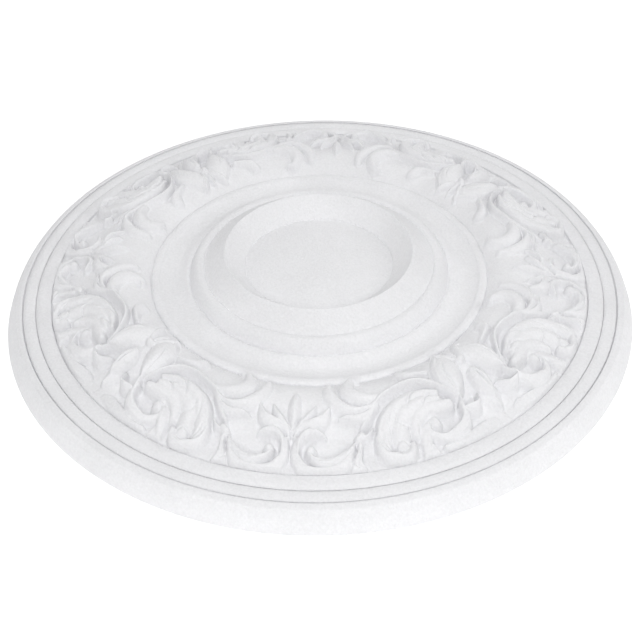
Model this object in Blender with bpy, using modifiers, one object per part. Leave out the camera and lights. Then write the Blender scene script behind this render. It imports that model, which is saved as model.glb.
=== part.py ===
"""Ceiling rose: one moulded disc, drawn lying on its flat back with its carved face up.

From the rim inwards come two rounded bands, a cushioned frieze with four palmettes and the
scrolls and leaves between them, a rounded ring, a cove, and a boss with a dish in its middle.
"""
import math

import bmesh
import bpy
import numpy as np
from mathutils import Matrix

# Height of the rim's upper edge, in metres
RIM_THICKNESS = 0.0216

# Widths of the turned mouldings, from the middle outwards
DISH_WIDTH = 0.0826
DISH_LIP_WIDTH = 0.0014
BOSS_SLOPE_WIDTH = 0.0203
BOSS_SIDE_WIDTH = 0.0238
COLLAR_RISE_WIDTH = 0.0070
COLLAR_TOP_WIDTH = 0.0034
COLLAR_SIDE_WIDTH = 0.0068
COVE_SHOULDER_WIDTH = 0.0050
COVE_INNER_WIDTH = 0.0137
COVE_OUTER_WIDTH = 0.0145
RING_WIDTH = 0.0098
FRIEZE_INNER_WIDTH = 0.0317
FRIEZE_OUTER_WIDTH = 0.0789
ROLL_WIDTH = 0.0168
BEAD_WIDTH = 0.0137
STEP_WIDTH = 0.0015
SHOULDER_WIDTH = 0.0066
RIM_SIDE_WIDTH = 0.0075
RIM_FOOT_WIDTH = 0.0050

# Radii where one moulding ends and the next begins
DISH_RADIUS = DISH_WIDTH
DISH_LIP_RADIUS = DISH_RADIUS + DISH_LIP_WIDTH
BOSS_RIM_RADIUS = DISH_LIP_RADIUS + BOSS_SLOPE_WIDTH
BOSS_FOOT_RADIUS = BOSS_RIM_RADIUS + BOSS_SIDE_WIDTH
COLLAR_RADIUS = BOSS_FOOT_RADIUS + COLLAR_RISE_WIDTH
COLLAR_SIDE_RADIUS = COLLAR_RADIUS + COLLAR_TOP_WIDTH
COVE_INNER_RADIUS = COLLAR_SIDE_RADIUS + COLLAR_SIDE_WIDTH
COVE_SHOULDER_RADIUS = COVE_INNER_RADIUS + COVE_SHOULDER_WIDTH
COVE_RADIUS = COVE_SHOULDER_RADIUS + COVE_INNER_WIDTH
COVE_OUTER_RADIUS = COVE_RADIUS + COVE_OUTER_WIDTH
FRIEZE_INNER_RADIUS = COVE_OUTER_RADIUS + RING_WIDTH
FRIEZE_CREST_RADIUS = FRIEZE_INNER_RADIUS + FRIEZE_INNER_WIDTH
FRIEZE_OUTER_RADIUS = FRIEZE_CREST_RADIUS + FRIEZE_OUTER_WIDTH
ROLL_OUTER_RADIUS = FRIEZE_OUTER_RADIUS + ROLL_WIDTH
BEAD_OUTER_RADIUS = ROLL_OUTER_RADIUS + BEAD_WIDTH
STEP_RADIUS = BEAD_OUTER_RADIUS + STEP_WIDTH
SHOULDER_RADIUS = STEP_RADIUS + SHOULDER_WIDTH
RIM_SIDE_RADIUS = SHOULDER_RADIUS + RIM_SIDE_WIDTH
OUTER_RADIUS = RIM_SIDE_RADIUS + RIM_FOOT_WIDTH

# Heights of the same mouldings above the back
DISH_CENTRE_HEIGHT = 0.0441
DISH_EDGE_HEIGHT = 0.0392
DISH_LIP_HEIGHT = 0.0417
BOSS_RIM_HEIGHT = 0.0609
BOSS_FOOT_HEIGHT = 0.0445
COLLAR_HEIGHT = 0.0462
COLLAR_SIDE_HEIGHT = 0.0420
COLLAR_FOOT_HEIGHT = 0.0322
COVE_SHOULDER_HEIGHT = 0.0329
COVE_HEIGHT = 0.0278
COVE_OUTER_HEIGHT = 0.0322
RING_HEIGHT = 0.0340
FRIEZE_INNER_HEIGHT = 0.0306
FRIEZE_CREST_HEIGHT = 0.0441
FRIEZE_OUTER_HEIGHT = 0.0231
ROLL_HEIGHT = 0.0252
ROLL_FOOT_HEIGHT = 0.0212
BEAD_HEIGHT = 0.0236
BEAD_FOOT_HEIGHT = 0.0214
STEP_HEIGHT = 0.0226
RIM_SIDE_HEIGHT = 0.0119

LAMP_FLAT_RADIUS = 0.030
FACETS_AROUND = 72
PALMETTES = 4
CARVING_COLUMNS = 64
CARVING_ROWS = 54
CARVING_TRIANGLES = 4960
TUCK = 0.004
INNER_SWELL = 2.2
OUTER_SWELL = 1.6
EDGE_FADE = 0.02
STROKE_STEPS = 40
THINNEST = 0.012
LEAN_MIDDLE = 0.82
SECTION_POWER = 0.6
RIDGE_SHARE = 0.4
HOLLOW_SHARE = 0.35
MERGE_DISTANCE = 0.00002
PLASTER_WHITE = (0.86, 0.86, 0.85, 1.0)
PLASTER_ROUGHNESS = 0.75

# Each stroke of the carving is a path of (degrees from the palmette's axis, share of the way
# across the frieze), then half widths and heights in shares of the frieze's width, spread
# evenly along the path. The section says how the stroke is rounded across.
ROUND = "round"
RIDGED = "ridged"
HOLLOWED = "hollowed"
LEFT_HIGH = "left high"
RIGHT_HIGH = "right high"

PALMETTE = (
    (RIDGED, ((0.0, 0.62), (0.0, 0.52), (0.0, 0.41), (0.0, 0.31), (0.0, 0.24)), (0.013, 0.045,
     0.060, 0.042, 0.007), (0.06, 0.07, 0.09, 0.07, 0.04)),
    (RIDGED, ((0.4, 0.62), (1.6, 0.56), (3.0, 0.51), (4.3, 0.45), (5.2, 0.38)), (0.013, 0.029,
     0.040, 0.031, 0.007), (0.05, 0.07, 0.09, 0.08, 0.05)),
    (RIGHT_HIGH, ((0.5, 0.67), (1.4, 0.61), (3.0, 0.57), (5.0, 0.56), (6.8, 0.52), (8.3, 0.40)),
     (0.013, 0.027, 0.040, 0.051, 0.047, 0.011), (0.06, 0.07, 0.09, 0.11, 0.10, 0.05)),
    (ROUND, ((1.5, 0.83), (1.7, 0.72), (2.6, 0.66), (3.9, 0.63), (5.4, 0.64), (6.8, 0.67)), (0.022,
     0.033, 0.040, 0.043, 0.040, 0.024), (0.10, 0.09, 0.10, 0.09, 0.09, 0.08)),
)
SMALL_SCROLL = (
    (LEFT_HIGH, ((12.5, 0.80), (11.1, 0.91), (8.9, 0.98), (6.0, 1.00), (3.1, 0.97), (1.5, 0.88),
     (0.8, 0.79), (1.0, 0.68)), (0.018, 0.041, 0.054, 0.059, 0.059, 0.050, 0.033, 0.018), (0.11,
     0.11, 0.09, 0.08, 0.08, 0.09, 0.09, 0.07)),
    (RIGHT_HIGH, ((12.8, 0.75), (11.1, 0.83), (8.9, 0.90), (7.0, 0.92), (5.0, 0.89), (3.9, 0.84)),
     (0.014, 0.027, 0.033, 0.034, 0.033, 0.027), (0.10, 0.13, 0.14, 0.14, 0.13, 0.12)),
    (ROUND, ((4.0, 0.79),), (0.045,), (0.11,)),
    (ROUND, ((13.7, 0.72), (14.5, 0.69)), (0.042, 0.042), (0.11, 0.10)),
    (HOLLOWED, ((13.9, 0.77), (13.3, 0.86), (12.9, 0.93), (12.9, 1.01), (12.9, 1.07)), (0.022,
     0.027, 0.045, 0.081, 0.108), (0.10, 0.11, 0.09, 0.06, 0.04)),
    (RIDGED, ((14.6, 0.63), (15.7, 0.58), (16.9, 0.54), (18.3, 0.49)), (0.018, 0.036, 0.031,
     0.009), (0.07, 0.08, 0.08, 0.08)),
    (RIDGED, ((14.8, 0.71), (16.1, 0.69), (17.1, 0.65)), (0.018, 0.027, 0.014), (0.09, 0.10, 0.10)),
)
RING_SIDE_LOBES = (
    (RIGHT_HIGH, ((10.0, 0.52), (11.9, 0.52), (13.9, 0.54), (15.8, 0.53), (17.8, 0.49),
     (19.4, 0.44)), (0.007, 0.022, 0.031, 0.031, 0.027, 0.018), (0.07, 0.09, 0.11, 0.11, 0.10, 0.09)),
    (ROUND, ((19.1, 0.41), (16.8, 0.46), (13.8, 0.47), (11.4, 0.42), (9.3, 0.33), (8.3, 0.22),
     (8.3, 0.14)), (0.014, 0.027, 0.045, 0.063, 0.069, 0.058, 0.041), (0.07, 0.10, 0.11, 0.09,
     0.06, 0.05, 0.06)),
    (ROUND, ((19.8, 0.37), (17.3, 0.37), (15.0, 0.33), (13.4, 0.25), (13.3, 0.16), (14.7, 0.08),
     (16.7, 0.08)), (0.050, 0.072, 0.087, 0.085, 0.069, 0.045, 0.022), (0.08, 0.10, 0.09, 0.08,
     0.07, 0.09, 0.07)),
    (ROUND, ((34.7, 0.26), (31.6, 0.23), (29.5, 0.19), (28.6, 0.14)), (0.027, 0.040, 0.063, 0.063),
     (0.08, 0.08, 0.08, 0.07)),
)
SHELL = (
    (ROUND, ((17.4, 0.47), (18.9, 0.43), (21.1, 0.37), (23.5, 0.34), (26.4, 0.31), (29.4, 0.31),
     (31.8, 0.34), (34.1, 0.41), (35.9, 0.49), (37.1, 0.60)), (0.009, 0.020, 0.033, 0.036, 0.036,
     0.034, 0.033, 0.027, 0.022, 0.016), (0.10, 0.10, 0.10, 0.10, 0.10, 0.10, 0.10, 0.11, 0.11,
     0.13)),
    (ROUND, ((18.6, 0.91), (18.9, 0.75), (20.2, 0.63), (22.6, 0.54), (26.0, 0.48), (29.9, 0.46),
     (33.4, 0.50)), (0.054, 0.081, 0.099, 0.099, 0.081, 0.063, 0.036), (0.11, 0.13, 0.13, 0.12,
     0.12, 0.11, 0.12)),
    (ROUND, ((21.7, 0.93), (22.1, 0.75), (23.2, 0.64), (25.5, 0.57), (28.9, 0.54), (32.8, 0.56)),
     (0.072, 0.104, 0.099, 0.090, 0.081, 0.054), (0.10, 0.13, 0.13, 0.13, 0.13, 0.13)),
    (ROUND, ((25.4, 0.77), (26.3, 0.68), (28.5, 0.61), (31.4, 0.61), (34.8, 0.63)), (0.054, 0.081,
     0.090, 0.081, 0.054), (0.10, 0.11, 0.12, 0.13, 0.13)),
    (LEFT_HIGH, ((17.6, 0.76), (18.3, 0.66), (19.8, 0.57), (22.1, 0.50), (25.2, 0.44)), (0.024,
     0.025, 0.024, 0.022, 0.018), (0.14, 0.14, 0.14, 0.13, 0.12)),
    (ROUND, ((17.4, 0.74), (17.6, 0.85), (18.7, 0.92), (20.3, 0.94)), (0.024, 0.040, 0.047, 0.051),
     (0.11, 0.12, 0.12, 0.12)),
    (ROUND, ((20.1, 0.94), (21.6, 0.97), (23.2, 0.93), (23.9, 0.87)), (0.045, 0.050, 0.047, 0.040),
     (0.12, 0.12, 0.12, 0.12)),
)
LARGE_SCROLL = (
    (LEFT_HIGH, ((25.7, 0.97), (26.4, 0.89), (27.1, 0.82), (28.0, 0.74)), (0.032, 0.051, 0.063,
     0.063), (0.04, 0.08, 0.10, 0.10)),
    (ROUND, ((30.0, 0.73),), (0.072,), (0.11,)),
    (LEFT_HIGH, ((37.1, 0.68), (36.9, 0.77), (35.8, 0.84), (34.0, 0.88), (31.7, 0.89),
     (29.8, 0.86), (28.5, 0.80)), (0.027, 0.041, 0.058, 0.065, 0.056, 0.042, 0.033), (0.15, 0.16,
     0.15, 0.14, 0.12, 0.11, 0.10)),
    (HOLLOWED, ((26.8, 0.85), (26.8, 0.94), (26.9, 1.05)), (0.045, 0.072, 0.099), (0.07, 0.06, 0.04)),
    (LEFT_HIGH, ((42.1, 0.91), (40.3, 0.91), (37.8, 0.93), (35.1, 0.97), (32.6, 0.98),
     (29.9, 0.96)), (0.036, 0.059, 0.063, 0.054, 0.045, 0.027), (0.02, 0.04, 0.06, 0.07, 0.07, 0.07)),
    (ROUND, ((37.0, 0.72), (38.0, 0.62)), (0.031, 0.027), (0.15, 0.12)),
)
PENDANT = (
    (RIDGED, ((37.5, 0.74), (38.9, 0.76), (40.7, 0.74), (42.0, 0.65)), (0.023, 0.041, 0.036,
     0.011), (0.17, 0.18, 0.16, 0.11)),
    (ROUND, ((38.0, 0.59), (38.5, 0.52), (38.9, 0.43), (39.7, 0.33), (40.7, 0.23)), (0.027, 0.081,
     0.122, 0.140, 0.108), (0.14, 0.14, 0.13, 0.11, 0.08)),
    (ROUND, ((37.1, 0.50), (36.5, 0.39), (37.2, 0.31), (38.5, 0.21), (40.5, 0.13)), (0.014, 0.033,
     0.038, 0.036, 0.027), (0.10, 0.09, 0.08, 0.07, 0.07)),
    (RIDGED, ((45.0, 0.84), (45.0, 0.74), (45.0, 0.62), (45.0, 0.50), (45.0, 0.41), (45.0, 0.34)),
     (0.027, 0.099, 0.136, 0.127, 0.072, 0.018), (0.09, 0.10, 0.10, 0.07, 0.06, 0.05)),
    (ROUND, ((45.0, 0.70), (45.0, 0.64), (45.0, 0.57), (45.0, 0.50), (45.0, 0.44)), (0.036, 0.072,
     0.095, 0.104, 0.077), (0.14, 0.16, 0.16, 0.15, 0.12)),
    (ROUND, ((45.0, 0.31),), (0.051,), (0.11,)),
    (RIDGED, ((45.0, 0.26), (45.0, 0.18), (45.0, 0.10)), (0.024, 0.034, 0.018), (0.06, 0.07, 0.05)),
    (ROUND, ((44.2, 0.29), (42.8, 0.21), (41.4, 0.12), (40.6, 0.08)), (0.020, 0.038, 0.034, 0.014),
     (0.06, 0.08, 0.08, 0.07)),
)
CARVING = PALMETTE + SMALL_SCROLL + RING_SIDE_LOBES + SHELL + LARGE_SCROLL + PENDANT


def curve_through(values, shares):
    """Read a smooth curve through evenly spaced values at each share of its length."""
    values = np.atleast_2d(np.asarray(values, float).T).T
    if len(values) == 1:
        return np.repeat(values, len(shares), axis=0)
    padded = np.vstack([2 * values[0] - values[1], values, 2 * values[-1] - values[-2]])
    position = np.asarray(shares) * (len(values) - 1)
    start = np.minimum(position.astype(int), len(values) - 2)
    t = (position - start)[:, None]
    before, first, second, after = (padded[start + step] for step in range(4))
    return 0.5 * (2 * first + (second - before) * t
                  + (2 * before - 5 * first + 4 * second - after) * t ** 2
                  + (3 * first - before - 3 * second + after) * t ** 3)


def section_height(section, across, side):
    """Height of a stroke's section, from 1 at its highest to 0 at its edges."""
    edge = np.clip(1 - across ** 2, 0, 1)
    if section == RIDGED:
        return (1 - RIDGE_SHARE) * edge ** SECTION_POWER + RIDGE_SHARE * np.clip(1 - across, 0, 1)
    if section == HOLLOWED:
        hollow = 1 - HOLLOW_SHARE + HOLLOW_SHARE * across ** 2
        return np.clip(1 - across ** 6, 0, 1) ** 0.5 * hollow
    if section in (LEFT_HIGH, RIGHT_HIGH):
        lean = side if section == LEFT_HIGH else -side
        slope = LEAN_MIDDLE + (1 - LEAN_MIDDLE) * lean * across
        return np.clip(1 - across ** 4, 0, 1) ** SECTION_POWER * slope
    return edge ** SECTION_POWER


def carving_height(degrees, share):
    """Height of the carving above the frieze, in metres, at places in one half repeat."""
    width = FRIEZE_OUTER_RADIUS - FRIEZE_INNER_RADIUS

    def plan(angle, across):
        radius = FRIEZE_INNER_RADIUS + across * width
        return np.stack([radius * np.sin(np.radians(angle)), radius * np.cos(np.radians(angle))], -1)

    places = plan(degrees, share)
    height = np.zeros(len(places))
    for section, path, half_widths, heights in CARVING:
        steps = np.linspace(0, 1, STROKE_STEPS) if len(path) > 1 else np.zeros(1)
        route = curve_through(path, steps)
        centres = plan(route[:, 0], route[:, 1])
        reach = np.maximum(curve_through(half_widths, steps)[:, 0], THINNEST) * width
        rise = curve_through(heights, steps)[:, 0] * width
        across = np.linalg.norm(places[:, None] - centres[None], axis=2) / reach
        nearest = across.argmin(axis=1)
        closest = across[np.arange(len(places)), nearest]
        heading = np.gradient(centres, axis=0) if len(path) > 1 else np.zeros((1, 2))
        offset = places - centres[nearest]
        turn = heading[nearest, 0] * offset[:, 1] - heading[nearest, 1] * offset[:, 0]
        section_share = section_height(section, closest, np.sign(turn))
        stroke = np.where(closest < 1, rise[nearest] * section_share, 0)
        height = np.maximum(height, stroke)
    return height * np.clip((1 - share) / EDGE_FADE, 0, 1) * np.clip((share + EDGE_FADE) / EDGE_FADE, 0, 1)


def frieze_height(radius):
    """Height of the frieze's cushioned ground at a radius; it dives under the mouldings beyond."""
    inner = (radius - FRIEZE_INNER_RADIUS) / (FRIEZE_CREST_RADIUS - FRIEZE_INNER_RADIUS)
    outer = (radius - FRIEZE_CREST_RADIUS) / (FRIEZE_OUTER_RADIUS - FRIEZE_CREST_RADIUS)
    rise = np.clip(1 - inner, 0, None) ** INNER_SWELL
    fall = np.sin(0.5 * math.pi * np.clip(outer, 0, 1)) ** OUTER_SWELL
    height = FRIEZE_CREST_HEIGHT - (FRIEZE_CREST_HEIGHT - FRIEZE_INNER_HEIGHT) * rise
    height -= (FRIEZE_CREST_HEIGHT - FRIEZE_OUTER_HEIGHT) * fall
    return height - np.clip(radius - FRIEZE_OUTER_RADIUS, 0, None)


def arch(start, end, crest, points=3):
    """Points of a rounded moulding between two feet, up to a crest height."""
    between = []
    for index in range(1, points + 1):
        turn = math.pi * index / (points + 1)
        share = 0.5 - 0.5 * math.cos(turn)
        foot = start[1] + (end[1] - start[1]) * share
        top = crest - foot
        between.append((start[0] + (end[0] - start[0]) * share, foot + top * math.sin(turn)))
    return between


def turned_profile():
    """Outline of the turned body from the middle of its face, over the rim, to its back."""
    lip = (DISH_LIP_RADIUS, DISH_LIP_HEIGHT)
    boss_foot = (BOSS_FOOT_RADIUS, BOSS_FOOT_HEIGHT)
    collar_foot = (COVE_INNER_RADIUS, COLLAR_FOOT_HEIGHT)
    cove_end = (COVE_OUTER_RADIUS, COVE_OUTER_HEIGHT)
    frieze_foot = (FRIEZE_INNER_RADIUS, FRIEZE_INNER_HEIGHT)
    frieze_end = (FRIEZE_OUTER_RADIUS, FRIEZE_OUTER_HEIGHT)
    roll_end = (ROLL_OUTER_RADIUS, ROLL_FOOT_HEIGHT)
    bead_end = (BEAD_OUTER_RADIUS, BEAD_FOOT_HEIGHT)
    below = FRIEZE_OUTER_HEIGHT - TUCK
    outline = [(0.0, DISH_CENTRE_HEIGHT), (LAMP_FLAT_RADIUS, DISH_CENTRE_HEIGHT)]
    outline += [(DISH_RADIUS, DISH_EDGE_HEIGHT), lip]
    outline += [(BOSS_RIM_RADIUS, BOSS_RIM_HEIGHT), boss_foot]
    outline += [(COLLAR_RADIUS, COLLAR_HEIGHT), (COLLAR_SIDE_RADIUS, COLLAR_SIDE_HEIGHT)]
    outline += [collar_foot, (COVE_SHOULDER_RADIUS, COVE_SHOULDER_HEIGHT)]
    outline += [(COVE_RADIUS, COVE_HEIGHT), cove_end]
    outline += arch(cove_end, frieze_foot, RING_HEIGHT, 3) + [frieze_foot]
    outline += [(FRIEZE_INNER_RADIUS + TUCK, below), (FRIEZE_OUTER_RADIUS - TUCK / 2, below)]
    outline += [frieze_end] + arch(frieze_end, roll_end, ROLL_HEIGHT, 3) + [roll_end]
    outline += arch(roll_end, bead_end, BEAD_HEIGHT, 3) + [bead_end]
    outline += [(STEP_RADIUS, STEP_HEIGHT), (SHOULDER_RADIUS, RIM_THICKNESS)]
    outline += [(RIM_SIDE_RADIUS, RIM_SIDE_HEIGHT), (OUTER_RADIUS, 0.0), (0.0, 0.0)]
    return outline


def new_object(name, mesh, collection):
    """Put a mesh into the scene as a named object."""
    thing = bpy.data.objects.new(name, mesh)
    collection.objects.link(thing)
    return thing


def evaluated_mesh(thing, name):
    """Copy an object's mesh with its modifiers worked out."""
    bpy.context.view_layer.update()
    graph = bpy.context.evaluated_depsgraph_get()
    mesh = bpy.data.meshes.new_from_object(thing.evaluated_get(graph))
    mesh.name = name
    return mesh


def plaster():
    """Matt off-white finish of the whole rose."""
    material = bpy.data.materials.new("plaster")
    material.use_nodes = True
    shader = material.node_tree.nodes["Principled BSDF"]
    shader.inputs["Base Color"].default_value = PLASTER_WHITE
    shader.inputs["Roughness"].default_value = PLASTER_ROUGHNESS
    shader.inputs["Metallic"].default_value = 0.0
    return material


def turned_body(collection):
    """Turn the profile round the middle."""
    mesh = bpy.data.meshes.new("ceiling_rose")
    outline = turned_profile()
    edges = [(index, index + 1) for index in range(len(outline) - 1)]
    mesh.from_pydata([(radius, 0, height) for radius, height in outline], edges, [])
    rose = new_object("ceiling_rose", mesh, collection)
    screw = rose.modifiers.new("turned", "SCREW")
    screw.steps = FACETS_AROUND
    screw.render_steps = FACETS_AROUND
    screw.use_merge_vertices = True
    screw.merge_threshold = MERGE_DISTANCE
    return rose


def carved_half():
    """Carve one half repeat as a fine sheet, from a palmette's middle to a pendant's middle."""
    sheet = bmesh.new()
    bmesh.ops.create_grid(sheet, x_segments=CARVING_COLUMNS, y_segments=CARVING_ROWS, size=0.5)
    grid = np.array([vert.co[:2] for vert in sheet.verts]) + 0.5
    width = FRIEZE_OUTER_RADIUS - FRIEZE_INNER_RADIUS
    degrees = grid[:, 0] * 180 / PALMETTES
    share = grid[:, 1] * (1 + 2 * TUCK / width) - TUCK / width
    radius = FRIEZE_INNER_RADIUS + share * width
    height = frieze_height(radius) + carving_height(degrees, share)
    for vert, angle, out, up in zip(sheet.verts, np.radians(degrees), radius, height):
        vert.co = (out * math.sin(angle), out * math.cos(angle), up)
    mesh = bpy.data.meshes.new("half_repeat")
    sheet.to_mesh(mesh)
    sheet.free()
    return mesh


def carved_sheet(collection):
    """Mirror the half repeat, set it round the rose and thin it to the facets it needs."""
    half = carved_half()
    ring = bmesh.new()
    for turn in range(PALMETTES):
        for side in (1, -1):
            place = Matrix.Rotation(2 * math.pi * turn / PALMETTES, 4, "Z")
            place @= Matrix.Diagonal((side, 1, 1, 1))
            start = len(ring.verts)
            ring.from_mesh(half)
            ring.verts.ensure_lookup_table()
            bmesh.ops.transform(ring, matrix=place, verts=ring.verts[start:])
    bmesh.ops.remove_doubles(ring, verts=ring.verts, dist=MERGE_DISTANCE)
    bmesh.ops.recalc_face_normals(ring, faces=ring.faces)
    mesh = bpy.data.meshes.new("carved_sheet")
    ring.to_mesh(mesh)
    ring.free()
    sheet = new_object("carved_sheet", mesh, collection)
    decimate = sheet.modifiers.new("facets", "DECIMATE")
    decimate.ratio = CARVING_TRIANGLES / (4 * PALMETTES * CARVING_COLUMNS * CARVING_ROWS)
    return sheet


def carved_ring(collection):
    """Give the carved sheet walls and a flat underside, so that it is a closed ring."""
    sheet = carved_sheet(collection)
    ring = bmesh.new()
    ring.from_mesh(evaluated_mesh(sheet, "carved_facets"))
    bpy.data.objects.remove(sheet)
    lower = bmesh.ops.extrude_face_region(ring, geom=ring.faces[:], use_keep_orig=True)["geom"]
    for item in lower:
        if isinstance(item, bmesh.types.BMVert):
            item.co.z = TUCK
    bmesh.ops.recalc_face_normals(ring, faces=ring.faces)
    mesh = bpy.data.meshes.new("carved_ring")
    ring.to_mesh(mesh)
    ring.free()
    carved = new_object("carved_ring", mesh, collection)
    carved.hide_render = True
    carved.display_type = "WIRE"
    return carved


def main():
    """Build the rose."""
    for thing in list(bpy.data.objects):
        bpy.data.objects.remove(thing)
    parts = bpy.data.collections.new("ceiling_rose")
    cutters = bpy.data.collections.new("cutters")
    for collection in (parts, cutters):
        bpy.context.scene.collection.children.link(collection)
    rose = turned_body(parts)
    rose.data.materials.append(plaster())
    union = rose.modifiers.new("carving", "BOOLEAN")
    union.operation = "UNION"
    union.solver = "EXACT"
    union.object = carved_ring(cutters)


main()
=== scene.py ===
"""Looks of a moulded ceiling rose: its turned mouldings, its carved frieze, finish and stage.

The file is laid out as an add-on and run as a script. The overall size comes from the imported
frame. Most other sizes are shares of the rose's outer radius or of its frieze's width.
"""
import math

import bmesh
import bpy
import numpy as np
from bpy.props import FloatProperty, FloatVectorProperty, IntProperty, PointerProperty
from mathutils import Matrix, Vector


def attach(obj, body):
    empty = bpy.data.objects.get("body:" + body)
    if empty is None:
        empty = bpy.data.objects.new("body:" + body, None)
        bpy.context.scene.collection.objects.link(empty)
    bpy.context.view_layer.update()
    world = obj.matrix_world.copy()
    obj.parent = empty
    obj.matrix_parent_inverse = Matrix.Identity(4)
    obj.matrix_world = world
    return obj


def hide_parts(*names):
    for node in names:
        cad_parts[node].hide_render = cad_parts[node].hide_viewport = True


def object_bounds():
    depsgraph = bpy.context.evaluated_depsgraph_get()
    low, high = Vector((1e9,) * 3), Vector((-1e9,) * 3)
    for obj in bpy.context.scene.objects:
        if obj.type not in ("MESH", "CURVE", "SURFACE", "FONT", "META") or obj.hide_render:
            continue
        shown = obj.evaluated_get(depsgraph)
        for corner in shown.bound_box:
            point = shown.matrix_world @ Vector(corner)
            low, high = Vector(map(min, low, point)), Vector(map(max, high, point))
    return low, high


bl_info = {
    "name": "Ceiling Rose",
    "version": (1, 0, 0),
    "blender": (4, 5, 0),
    "location": "View3D > Sidebar > Rose",
    "description": "Builds a moulded ceiling rose, its carved frieze, finish and stage",
    "category": "Object",
}

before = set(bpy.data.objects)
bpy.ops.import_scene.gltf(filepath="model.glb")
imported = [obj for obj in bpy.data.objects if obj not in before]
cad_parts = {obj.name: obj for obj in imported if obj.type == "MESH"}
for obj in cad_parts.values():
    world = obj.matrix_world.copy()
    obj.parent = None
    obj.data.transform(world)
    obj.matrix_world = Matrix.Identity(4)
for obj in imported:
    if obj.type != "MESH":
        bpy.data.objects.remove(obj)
NODE = "ceiling_rose"
BODY = "root"
CAD_LOW, CAD_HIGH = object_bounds()

# Size of the whole, in metres, and shape of the frieze's cushioned ground
OUTER_RADIUS = CAD_HIGH.x
OVERALL_HEIGHT = CAD_HIGH.z
PALMETTES = 4
FRIEZE_CREST_RADIUS = 0.6286 * OUTER_RADIUS
FRIEZE_INNER_HEIGHT = 0.0874 * OUTER_RADIUS
FRIEZE_CREST_HEIGHT = 0.1260 * OUTER_RADIUS
FRIEZE_OUTER_HEIGHT = 0.0660 * OUTER_RADIUS
INNER_SWELL = 2.2
OUTER_SWELL = 1.6

# How the frieze's pieces tuck under the mouldings and end in a skirt, and how meshes are closed
TUCK = 0.0114 * OUTER_RADIUS
SKIRT_HEIGHT = 0.030 * OUTER_RADIUS
SKIRT_MARGIN = 1.01
OVERSAMPLE = 2
MERGE_DISTANCE = 0.00002
SHARP_ANGLE = math.radians(50)
SMOOTH_EVERYWHERE = -1.0

# Narrow grooves between the rim's mouldings, in shares of the outer radius
CREASE_HALF_WIDTH = 0.0050
CREASE_DEPTH = 0.0058

# Turned outline between the radii of RoseMouldings, as (distance past an edge, height above the
# back) in shares of the outer radius. BOSS_FOOT counts from the collar's crest, RING_FOOT and
# ROLL_FOOT from the frieze's two edges, DISH_FLOOR, COVE_FLOOR and RIM_SIDE from the middle, and
# the others from the moulding before. The boss's rim is rounded by moves from its sharp edge.
DISH_MIDDLE_HEIGHT = 0.126
DISH_FLOOR = ((0.06, 0.126), (0.15, 0.1215))
DISH_EDGE_HEIGHT = 0.112
DISH_WALL = ((0.0015, 0.116), (0.004, 0.119))
LIP_TOP = (0.003, 0.1205)
BOSS_RIM_INSIDE = ((-0.006, -0.0045), (-0.003, -0.0017))
BOSS_RIM_OUTSIDE = ((0.003, -0.0012), (0.006, -0.0035))
BOSS_SIDE = (0.01, 0.1675)
BOSS_FOOT = (-0.020, 0.127)
COLLAR_RISE = (0.006, 0.1315)
COLLAR_HEIGHT = 0.132
COLLAR_SIDE = ((0.012, 0.124), (0.022, 0.108), (0.029, 0.0915))
COVE_SHOULDER = ((0.005, 0.0943), (0.015, 0.094), (0.035, 0.083))
COVE_FLOOR = ((0.465, 0.0795), (0.482, 0.081), (0.497, 0.0855))
RING_FOOT = (-0.028, 0.092)
BED_MARGIN = 0.012
ROLL_FOOT = (0.048, 0.0605)
ROLL_CREST = 0.0722
BEAD_FOOT = (0.039, 0.0611)
BEAD_CREST = 0.0680
STEP = ((0.004, 0.0650), (0.007, 0.0657), (0.010, 0.0655))
EDGE_DISTANCE = 0.0235
EDGE_ROUNDING = (0.002, -0.002)
RIM_SIDE = ((0.984, 0.036), (1.0, 0.0))
BACK_LOOP = 0.6

# Grain and tone of the primer
PRIMER_SPECULAR = 0.3
DARK_TONE = 0.86
PALE_TONE = 1.14
PEBBLE_DETAIL = 2.0
PEBBLE_ROUGHNESS = 0.6
PEBBLE_SHARE = 0.6
CLOUD_DETAIL = 3.0
CLOUD_SHARE = 0.4
PEBBLES_PER_CLOUD = 24.0

# Floor and sky
FLOOR_HEIGHT = -0.0005
FLOOR_SIZE = 60 * OUTER_RADIUS
FLOOR_ROUGHNESS = 0.9
SKY_COLOUR = (1.0, 1.0, 1.0, 1.0)

# Camera, with its pitch and roll in radians and its film in millimetres
CAMERA_PITCH = -0.0272
CAMERA_ROLL = 0.0199
CAMERA_NEAR = 0.01
SENSOR_WIDTH = 36.0
PHOTO_PIXELS = 640

# Lights, with their width and distance in shares of the outer radius
LIGHT_WIDTH = 3.0
LIGHT_DISTANCE = 5.2
# Name, elevation and turn from the camera in degrees, strength as a share of the key light
LIGHTS = (
    ("front", 45, 0, 1.0),
    ("low front", 20, 0, 0.26),
    ("high back", 70, 180, 0.52),
    ("low back", 20, 180, 0.35),
    ("right", 30, 90, 0.60),
    ("left", 30, -90, 0.34),
)

# How strokes are read along their path and rounded across
EDGE_FADE = 0.02
STROKE_STEPS = 60
THINNEST = 0.004
SECTION_POWER = 0.6
RIDGE_SHARE = 0.4
HOLLOW_SHARE = 0.35
HOLLOW_FLATNESS = 6
LEAN_MIDDLE = 0.82
LEAN_FLATNESS = 4
GROOVE_POWER = 1.5

# Each stroke of the carving is a path of (degrees from the palmette's axis, share of the way
# across the frieze), then half widths and heights in shares of the frieze's width, spread
# evenly along the path. The section says how the stroke is rounded across.
ROUND = "round"
RIDGED = "ridged"
HOLLOWED = "hollowed"
LEFT_HIGH = "left high"
RIGHT_HIGH = "right high"

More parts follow.
